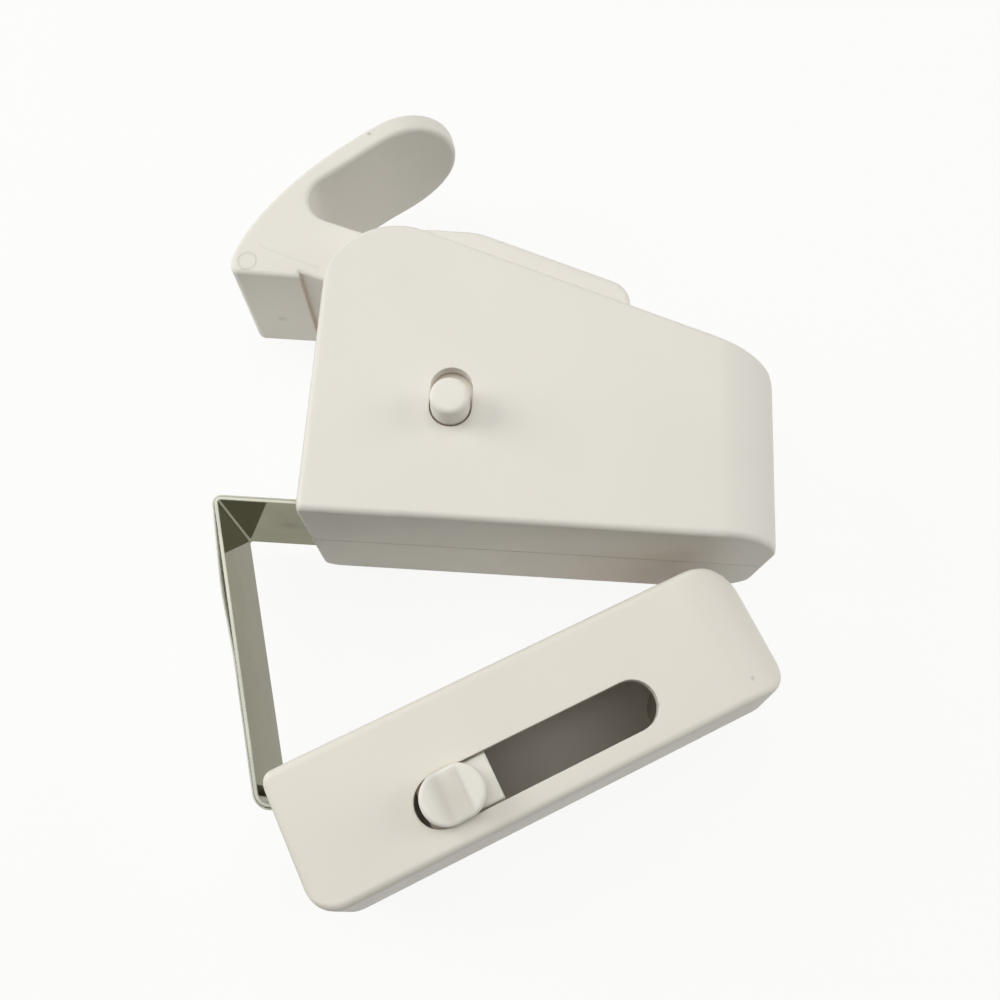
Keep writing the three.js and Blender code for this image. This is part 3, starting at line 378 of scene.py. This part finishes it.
def steel(name, colour, roughness, stretch, grain, source="Object", grazing=(1, 1, 1), dent_shades=()):
    """Drawn or rolled steel: streaks along the way it was drawn, soft tarnish, a few dull spots,
    and darker spots painted where shallow dents dim the reflection. Streaks are grain millimetres wide
    before they are stretched."""
    material, tree, shader = new_material(name)
    shader.inputs["Metallic"].default_value = 1
    streaked = coordinates(tree, stretch, source)
    plain = coordinates(tree, source=source)
    streak = noise(tree, streaked, grain, detail=6, roughness=0.65)
    tint = mixed(tree, spread(tree, streak, 0, 1), *(shade(colour, tone) for tone in STREAK_TONES))
    tarnish = spread(tree, noise(tree, plain, TARNISH_WIDTH, detail=2), 0, 1, start=0.35, end=0.65)
    tint = mixed(tree, tarnish, tint, tinted(colour, TARNISH_TONE))
    spot = spread(tree, noise(tree, plain, SPOT_WIDTH, detail=4), 0, SPOT_SHARE, start=0.62, end=0.74)
    tint = mixed(tree, spot, tint, shade(colour, SPOT_TONE))
    # Painted reflection: darker spots where shallow dents dim what the steel mirrors
    for along, across, radius in dent_shades:
        away = vector_value(tree, "DISTANCE", plain, (along * MM, across * MM, 0))
        dent_shade = spread(tree, away, DENT_SHADE_SHARE, 0, start=0, end=radius * MM)
        tint = mixed(tree, dent_shade, tint, shade(colour, DENT_SHADE_TONE))
    tree.links.new(tint, shader.inputs["Base Color"])
    shader.inputs["Specular Tint"].default_value = grazing + (1,)
    tree.links.new(spread(tree, streak, *roughness), shader.inputs["Roughness"])
    normal = bumped(tree, streak, STREAK_STRENGTH, STREAK_HEIGHT, softened(tree, STEEL_EDGE))
    tree.links.new(normal, shader.inputs["Normal"])
    return material


HOUSING_COLOUR = (0.755, 0.736, 0.686)
ARM_COLOUR = (0.757, 0.738, 0.686)
JAW_COLOUR = (0.75, 0.725, 0.66)
BUTTON_COLOUR = (0.785, 0.768, 0.716)
INNER_COLOUR = (0.7, 0.67, 0.6)
BUTTON_GLOSS = (0.36, 0.46)
INNER_GLOSS = (0.5, 0.62)
DULL_STEEL = (0.6, 0.75)

# How a steel's streaks are drawn out
ALONG_STRIP = (0.03, 1, 1)
ALONG_WIRE = (1, 1, 0.05)
ROUND_HEAD = (1, 1, 1)

# Marks of the mould: on the arm a pin's ring, an insert's step, a dot and the gate, on the jaw two
# small dots. A ring has a centre, a radius and a width, a line its two ends and a width.
# Each then has its height and how much painted shade darkens the plastic on it, standing in for the
# shade of its small relief.
ARM_MARKS = [
    (ring_mark, (-15.3, 47.5, 31.65), 1.6, 0.35, 0.12, 0.12),
    (line_mark, (-13.6, 51.2, 31.65), (-13, 50.4, 31.65), 0.3, 0.06, 0.08),
    (line_mark, (-13.1, 50.5, 31.65), (-2, 46.7, 31.65), 0.3, 0.06, 0.08),
    (ring_mark, (-11.6, 44.9, 14.8), 0, 1.3, 0.1, 0.5),
    (ring_mark, (4, 75.8, 31.65), 0, 0.5, 0.1, 1),
]
JAW_MARKS = [
    (ring_mark, (73.1, -22.2, 36.2), 0, 0.5, 0.1, 0.6),
    (ring_mark, (58.4, -27.1, 36.8), 0, 0.5, 0.2, 0.3),
]

# Darker spots painted on the strap where its shallow dents dim the reflection: place along it from its
# end in the housing, place across it, radius
STRAP_DENT_SHADES = [(30.5, 18.5, 2.4), (65.6, 23.5, 0.9), (69.4, 18.7, 1.1)]

looks = {
    "housing_plastic": plastic("housing_plastic", HOUSING_COLOUR),
    "arm_plastic": plastic("arm_plastic", ARM_COLOUR, marks=ARM_MARKS),
    "jaw_plastic": plastic("jaw_plastic", JAW_COLOUR, marks=JAW_MARKS),
    "button_plastic": plastic("button_plastic", BUTTON_COLOUR, BUTTON_GLOSS, BUTTON_EDGE),
    "inner_plastic": plastic("inner_plastic", INNER_COLOUR, INNER_GLOSS),
    "strap_steel": steel(
        "strap_steel",
        (0.365, 0.358, 0.288),
        (0.04, 0.08),
        ALONG_STRIP,
        0.5,
        "UV",
        grazing=(0.53, 0.52, 0.46),
        dent_shades=STRAP_DENT_SHADES,
    ),
    # The tape's pale colour partly stands in for the light caught in the narrow gap between strap and
    # tape: partly painted light.
    "tape_steel": steel("tape_steel", (0.82, 0.81, 0.74), DULL_STEEL, ALONG_STRIP, 0.4, "UV"),
    "pin_steel": steel("pin_steel", (0.58, 0.58, 0.57), (0.15, 0.3), ALONG_WIRE, 0.3),
    "spring_steel": steel("spring_steel", (0.5, 0.5, 0.5), (0.2, 0.35), ROUND_HEAD, 0.4),
    "screw_steel": steel("screw_steel", (0.55, 0.55, 0.54), (0.22, 0.4), ROUND_HEAD, 0.6),
}
# The thumb rest's plastic darkens its hollow and the foot of its rim with painted shade
shaded_thumb_rest = plastic("thumb_rest_shaded_plastic", BUTTON_COLOUR, BUTTON_GLOSS, crease_shade=THUMB_REST_SHADE)
cut_edge = steel("strip_cut_edge", (0.45, 0.445, 0.38), DULL_STEEL, ALONG_STRIP, 0.3, "UV")


# Soft shading for the carried-over solids
def soft_shading_group():
    """Joins the solid's facets and shades every edge flatter than SMOOTH_ANGLE as part of a curve."""
    group = bpy.data.node_groups.new("soft_shading", "GeometryNodeTree")
    group.interface.new_socket("Geometry", in_out="INPUT", socket_type="NodeSocketGeometry")
    group.interface.new_socket("Geometry", in_out="OUTPUT", socket_type="NodeSocketGeometry")
    start = group.nodes.new("NodeGroupInput")
    end = group.nodes.new("NodeGroupOutput")
    weld = group.nodes.new("GeometryNodeMergeByDistance")
    weld.inputs["Distance"].default_value = WELD * MM
    smooth = group.nodes.new("GeometryNodeSetShadeSmooth")
    smooth.inputs["Shade Smooth"].default_value = True
    angle = group.nodes.new("GeometryNodeInputMeshEdgeAngle")
    steep = group.nodes.new("FunctionNodeCompare")
    steep.operation = "GREATER_THAN"
    steep.inputs["B"].default_value = SMOOTH_ANGLE
    crisp = group.nodes.new("GeometryNodeSetShadeSmooth")
    crisp.domain = "EDGE"
    crisp.inputs["Shade Smooth"].default_value = False
    group.links.new(start.outputs[0], weld.inputs["Geometry"])
    group.links.new(weld.outputs["Geometry"], smooth.inputs["Geometry"])
    group.links.new(smooth.outputs["Geometry"], crisp.inputs["Geometry"])
    group.links.new(angle.outputs["Unsigned Angle"], steep.inputs["A"])
    group.links.new(steep.outputs["Result"], crisp.inputs["Selection"])
    group.links.new(crisp.outputs["Geometry"], end.inputs[0])
    return group


def dress(node, look, shading):
    node.data.materials.clear()
    node.data.materials.append(look)
    smooth = node.modifiers.new("soft_shading", "NODES")
    smooth.node_group = shading
    weighted = node.modifiers.new("flat_faces_stay_flat", "WEIGHTED_NORMAL")
    weighted.keep_sharp = True


# Strap and tape. Each has three looks: on its inner side, on its outer side and on its cut edges.
# Of the eight sides of a strip's section the outer one comes third and the inner one seventh.
INNER_LOOK = 0
OUTER_LOOK = 1
EDGE_LOOK = 2
STRIP_LOOKS = {6: INNER_LOOK, 2: OUTER_LOOK}


def stations(corners):
    """Points (place, outward direction, length so far) along a line with its corners rounded.
    Each corner is (point, inner radius); outward is to the right of the way along."""
    line = []

    def add(place, outward):
        length = 0
        if line:
            last = line[-1]
            length = last[2] + (place - last[0]).length
        line.append((place, outward, length))

    def add_straight(start, end):
        along = (end - start).normalized()
        count = max(1, math.ceil((end - start).length / STRIP_STEP))
        for step in range(count + 1):
            add(start.lerp(end, step / count), Vector((along.y, -along.x)))

    start = corners[0][0]
    for (corner, radius), (following, _) in zip(corners[1:-1], corners[2:]):
        arriving = (corner - start).normalized()
        leaving = (following - corner).normalized()
        turn = -arriving.angle_signed(leaving)
        tangent = radius * math.tan(abs(turn) / 2)
        bend_start = corner - arriving * tangent
        centre = bend_start + Vector((-arriving.y, arriving.x)) * radius * math.copysign(1, turn)
        add_straight(start, bend_start)
        for step in range(1, BEND_STEPS):
            swing = Matrix.Rotation(turn * step / BEND_STEPS, 2)
            place = centre + swing @ (bend_start - centre)
            add(place, swing @ Vector((arriving.y, -arriving.x)))
        start = corner + leaving * tangent
    add_straight(start, corners[-1][0])
    return line


def strip(name, corners, near, far, width_at, look, outer_look):
    """Metal strip between two offsets from a line, with its corners broken and UVs along its length."""
    mesh = bpy.data.meshes.new(name)
    shape = bmesh.new()
    uv = shape.loops.layers.uv.new("UVMap")
    line = stations(corners)
    total = line[-1][2]
    rings = []
    for place, outward, length in line:
        low, high = width_at(length, total)
        section = [
            (near + STRIP_EDGE, low),
            (far - STRIP_EDGE, low),
            (far, low + STRIP_EDGE),
            (far, high - STRIP_EDGE),
            (far - STRIP_EDGE, high),
            (near + STRIP_EDGE, high),
            (near, high - STRIP_EDGE),
            (near, low + STRIP_EDGE),
        ]
        ring = []
        for offset, level in section:
            point = place + outward * offset
            ring.append((shape.verts.new(to_row(point.x, point.y, level)), length * MM, level * MM))
        rings.append(ring)
    sides = len(rings[0])
    for ring, following in zip(rings, rings[1:]):
        for side in range(sides):
            after = (side + 1) % sides
            corner_set = [ring[side], following[side], following[after], ring[after]]
            face = shape.faces.new([corner[0] for corner in corner_set])
            for loop, corner in zip(face.loops, corner_set):
                loop[uv].uv = (corner[1], corner[2])
            face.material_index = STRIP_LOOKS.get(side, EDGE_LOOK)
            face.smooth = True
    for ring in (rings[0], rings[-1]):
        face = shape.faces.new([corner[0] for corner in ring])
        face.material_index = EDGE_LOOK
    bmesh.ops.recalc_face_normals(shape, faces=shape.faces)
    shape.to_mesh(mesh)
    shape.free()
    for finish in (look, outer_look, cut_edge):
        mesh.materials.append(finish)
    mesh.set_sharp_from_angle(angle=SMOOTH_ANGLE)
    piece = bpy.data.objects.new(name, mesh)
    bpy.context.scene.collection.objects.link(piece)
    return piece


def strap_width(length, total):
    at_head = length < STRAP_HEAD_LENGTH or length > total - STRAP_HEAD_LENGTH
    return (STRAP_HEAD_LOW, STRAP_HEAD_HIGH) if at_head else (STRAP_LOW, STRAP_HIGH)


def tape_width(length, total):
    return TAPE_LOW, TAPE_HIGH


def add_strips():
    spine = (JAW_BEND - HOUSING_BEND).normalized()
    outward = Vector((spine.y, -spine.x))
    bow = HOUSING_BEND.lerp(JAW_BEND, TAPE_BOW_PLACE) + outward * TAPE_BOW
    bow_end = HOUSING_BEND.lerp(JAW_BEND, TAPE_BOW_END)
    strap_line = [
        (STRAP_END, 0),
        (HOUSING_BEND, HOUSING_BEND_RADIUS),
        (JAW_BEND, JAW_BEND_RADIUS),
        (STRAP_JAW_END, 0),
    ]
    tape_line = [
        (TAPE_END, 0),
        (HOUSING_BEND, HOUSING_BEND_RADIUS),
        (bow, TAPE_BOW_RADIUS),
        (bow_end, TAPE_BOW_RADIUS),
        (JAW_BEND, JAW_BEND_RADIUS),
        (TAPE_JAW_END, 0),
    ]
    # The strap's outer side faces the tape across a narrow gap and takes the tape's paler, rougher
    # steel, so that the gap reads lit: painted light.
    bright = looks["strap_steel"]
    dull = looks["tape_steel"]
    strap = strip("strap", strap_line, 0, STRAP_THICKNESS, strap_width, bright, dull)
    tape = strip("tape", tape_line, TAPE_NEAR, TAPE_FAR, tape_width, dull, dull)
    for piece, node, slot in ((strap, "door_strap", "strap_steel"), (tape, "pull_tape", "tape_steel")):
        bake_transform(piece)
        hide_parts(node)


# Thumb slider. Its body and its cap have a look each; the cap's look darkens its hollow with painted
# shade.
BODY_LOOK = 0
THUMB_LOOK = 1


def rest_height(along):
    """Height of the thumb rest at a distance from the cap's start, before its edges are rounded."""
    if along <= CAP_REST or along >= CAP_LIP:
        return CAP_TOP
    if along <= CAP_DIP:
        share = (CAP_DIP - along) / (CAP_DIP - CAP_REST)
        return CAP_TOP - CAP_SCOOP * (1 + math.cos(math.pi * share)) / 2
    radius = (CAP_SCOOP**2 + (CAP_LIP - CAP_DIP) ** 2) / (2 * CAP_SCOOP)
    return CAP_TOP - CAP_SCOOP + radius - math.sqrt(radius**2 - (along - CAP_DIP) ** 2)


def cap_height(along, edge):
    """Height of the cap with its lip softened and its rim rounded; edge is the distance from the rim."""
    steps = range(-CAP_SOFT_STEPS, CAP_SOFT_STEPS + 1)
    height = sum(rest_height(along + step * CAP_SOFT_STEP) for step in steps) / len(steps)
    inward = CAP_ROUND - min(edge, CAP_ROUND)
    return height - CAP_ROUND + math.sqrt(CAP_ROUND**2 - inward**2)


def cap_point(along, across, height):
    return (SLOT_ALONG * along + SLOT_ACROSS * (CAP_MIDDLE + across) + Vector((0, 0, height))) * MM


def add_cap(shape):
    """Cap with a round-ended plan: columns of points across it, and a flat floor."""
    middle = (CAP_START + CAP_END) / 2
    reach = (CAP_END - CAP_START) / 2 - CAP_TIP
    straight = reach + CAP_TIP - CAP_HALF
    columns = []
    for column in range(CAP_COLUMNS + 1):
        offset = -reach * math.cos(math.pi * column / CAP_COLUMNS)
        past = max(0, abs(offset) - straight)
        half = math.sqrt(CAP_HALF**2 - past**2)
        points = [cap_point(middle + offset, -half, CAP_FLOOR)]
        for row in range(CAP_ROWS + 1):
            across = half * math.sin(math.pi * (row / CAP_ROWS - 0.5))
            edge = max(0, CAP_HALF - math.hypot(past, across))
            height = cap_height(middle + offset - CAP_START, edge)
            points.append(cap_point(middle + offset, across, height))
        points.append(cap_point(middle + offset, half, CAP_FLOOR))
        columns.append([shape.verts.new(point) for point in points])
    for column, following in zip(columns, columns[1:]):
        for place in range(len(column)):
            shape.faces.new((column[place - 1], following[place - 1], following[place], column[place]))
    for column in (columns[0], columns[-1]):
        shape.faces.new(column)


def add_knob(solid, look, shading):
    """Thumb slider with a soft cap in place of the solid's cap, which has a plain notch."""
    mesh = bpy.data.meshes.new("knob")
    shape = bmesh.new()
    shape.from_mesh(solid.data)
    bmesh.ops.remove_doubles(shape, verts=shape.verts, dist=WELD * MM)
    cut = bmesh.ops.bisect_plane(
        shape,
        geom=shape.verts[:] + shape.edges[:] + shape.faces[:],
        plane_co=(0, 0, CAP_CUT * MM),
        plane_no=(0, 0, 1),
        clear_outer=True,
    )
    rims = [piece for piece in cut["geom_cut"] if isinstance(piece, bmesh.types.BMEdge)]
    bmesh.ops.triangle_fill(shape, edges=rims, use_beauty=True)
    add_cap(shape)
    bmesh.ops.recalc_face_normals(shape, faces=shape.faces)
    shape.to_mesh(mesh)
    shape.free()
    piece = bpy.data.objects.new("knob", mesh)
    bpy.context.scene.collection.objects.link(piece)
    dress(piece, look, shading)
    mesh.materials.append(shaded_thumb_rest)
    for face in mesh.polygons:
        on_cap = face.center.z > CAP_CUT * MM
        face.material_index = THUMB_LOOK if on_cap else BODY_LOOK
    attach(piece, "slider")
    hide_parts("slider_knob")


# Stage
def floor_material():
    """White ground: what it looks like is mostly its own white, the rest takes the object's shadow."""
    material, tree = blank_material("floor")
    output = tree.nodes.new("ShaderNodeOutputMaterial")
    bounce = tree.nodes.new("ShaderNodeBsdfDiffuse")
    bounce.inputs["Color"].default_value = FLOOR_COLOUR
    shadowed = tree.nodes.new("ShaderNodeBsdfDiffuse")
    shadowed.inputs["Color"].default_value = FLOOR_SEEN
    white = tree.nodes.new("ShaderNodeEmission")
    white.inputs["Color"].default_value = FLOOR_SEEN
    seen = tree.nodes.new("ShaderNodeMixShader")
    seen.inputs[0].default_value = 1 - FLOOR_SHADOW_SHARE
    tree.links.new(shadowed.outputs[0], seen.inputs[1])
    tree.links.new(white.outputs[0], seen.inputs[2])
    choice = tree.nodes.new("ShaderNodeMixShader")
    tree.links.new(looked_at(tree), choice.inputs[0])
    tree.links.new(bounce.outputs[0], choice.inputs[1])
    tree.links.new(seen.outputs[0], choice.inputs[2])
    tree.links.new(choice.outputs[0], output.inputs["Surface"])
    return material


def looked_at(tree):
    """1 for rays that show a surface itself: seen, mirrored or through glass."""
    path = tree.nodes.new("ShaderNodeLightPath")
    total = path.outputs["Is Camera Ray"]
    for kind in ("Is Glossy Ray", "Is Transmission Ray"):
        total = calculated(tree, "MAXIMUM", total, path.outputs[kind])
    return total


def add_floor():
    mesh = bpy.data.meshes.new("floor")
    shape = bmesh.new()
    bmesh.ops.create_grid(shape, x_segments=FLOOR_CELLS, y_segments=FLOOR_CELLS, size=FLOOR_HALF * MM)
    shape.to_mesh(mesh)
    shape.free()
    mesh.materials.append(floor_material())
    floor = bpy.data.objects.new("floor", mesh)
    floor.location = (0, 0, cad_box[0].z)
    bpy.context.scene.collection.objects.link(floor)


def add_world():
    world = bpy.data.worlds.new("studio")
    bpy.context.scene.world = world
    world.use_nodes = True
    tree = world.node_tree
    tree.nodes.clear()
    output = tree.nodes.new("ShaderNodeOutputWorld")
    room = tree.nodes.new("ShaderNodeBackground")
    room.inputs["Color"].default_value = WORLD_COLOUR
    room.inputs["Strength"].default_value = WORLD_LIGHT
    white = tree.nodes.new("ShaderNodeBackground")
    white.inputs["Color"].default_value = FLOOR_SEEN
    white.inputs["Strength"].default_value = 1
    choice = tree.nodes.new("ShaderNodeMixShader")
    tree.links.new(looked_at(tree), choice.inputs[0])
    tree.links.new(room.outputs[0], choice.inputs[1])
    tree.links.new(white.outputs[0], choice.inputs[2])
    tree.links.new(choice.outputs[0], output.inputs["Surface"])


def add_lamp(name, place, size, power):
    lamp = bpy.data.lights.new(name, "AREA")
    lamp.shape = "RECTANGLE"
    lamp.size = size[0] * MM
    lamp.size_y = size[1] * MM
    lamp.energy = power
    lamp.color = LAMP_COLOUR
    holder = bpy.data.objects.new(name, lamp)
    holder.location = Vector(place) * MM
    holder.rotation_euler = (-holder.location).to_track_quat("-Z", "Y").to_euler()
    bpy.context.scene.collection.objects.link(holder)


def add_camera():
    lens = bpy.data.cameras.new("camera")
    lens.lens = CAMERA_LENS
    lens.sensor_width = CAMERA_SENSOR
    lens.clip_start = MM
    camera = bpy.data.objects.new("camera", lens)
    columns = (CAMERA_RIGHT, CAMERA_UP, -CAMERA_FORWARD, CAMERA_PLACE * MM)
    camera.matrix_world = Matrix([*zip(*columns), (0, 0, 0, 1)])
    bpy.context.scene.collection.objects.link(camera)
    bpy.context.scene.camera = camera


shading = soft_shading_group()
for part in frame["record"]["subparts"]:
    dress(nodes[part["node"]], looks[part["material_slot"]], shading)
add_strips()
add_knob(nodes["slider_knob"], looks["button_plastic"], shading)
add_floor()
add_world()
for name, settings in LAMPS.items():
    add_lamp(name, *settings)
add_camera()
bpy.context.scene.view_settings.view_transform = "Standard"
